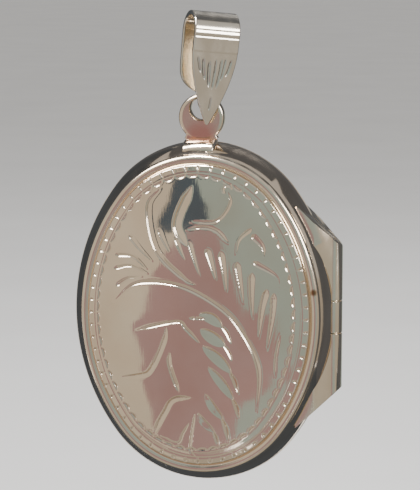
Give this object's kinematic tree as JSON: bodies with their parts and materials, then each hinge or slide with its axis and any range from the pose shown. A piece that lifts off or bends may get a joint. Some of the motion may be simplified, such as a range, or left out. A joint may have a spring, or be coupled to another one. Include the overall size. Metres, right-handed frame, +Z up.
{
  "type": "locket pendant",
  "caption": "Oval hinged gold locket with engraved domed covers, picture frames inside and a folded leaf bail on a lug.",
  "frame": {"origin": "the inner top of the bail's arch, where the chain carries the locket", "axes": "+Z up as it hangs; the engraved front faces -Y; the joint of the two halves is on the +X side"},
  "size_m": [0.0238, 0.0076, 0.0414],
  "materials": {
    "bail_gold": "gold bail, bright cut and polished",
    "lug_gold": "gold, worn polish",
    "cover_gold": "9 ct gold, polished and hand engraved",
    "rim_gold": "half-round gold wire, polished",
    "band_gold": "polished gold band, fine wear scratches",
    "inner_gold": "gold, matt inside",
    "joint_gold": "gold tube and bearers, filed and polished",
    "pin_gold": "hard-drawn gold pin",
    "window_clear": "clear picture window"
  },
  "bodies": {
    "bail_body": {"bail": "bail_gold"},
    "front_half": {"lug_ring": "lug_gold", "lug_foot": "lug_gold", "front_cover": "cover_gold", "front_rim": "rim_gold", "front_band": "band_gold", "front_picture_bezel": "inner_gold", "front_picture_frame": "inner_gold", "front_window": "window_clear", "upper_front_bearer": "joint_gold", "lower_front_bearer": "joint_gold", "upper_knuckle": "joint_gold", "lower_knuckle": "joint_gold", "joint_pin": "pin_gold"},
    "back_half": {"back_cover": "cover_gold", "back_rim": "rim_gold", "back_band": "band_gold", "back_picture_bezel": "inner_gold", "back_picture_frame": "inner_gold", "back_window": "window_clear", "upper_back_bearer": "joint_gold", "lower_back_bearer": "joint_gold", "middle_knuckle": "joint_gold", "snap_lip": "inner_gold"}
  },
  "joints": [
    {"name": "bail_swing", "type": "hinge", "parent": "bail_body", "child": "front_half", "pos_m": [-0.00096, 0, -0.00686], "axis": [1, 0, 0], "range_deg": [-12, 60]},
    {"name": "cover_hinge", "type": "hinge", "parent": "front_half", "child": "back_half", "pos_m": [0.01076, 0, -0.02576], "axis": [0, 0, -1], "range_deg": [0, 170]}
  ]
}
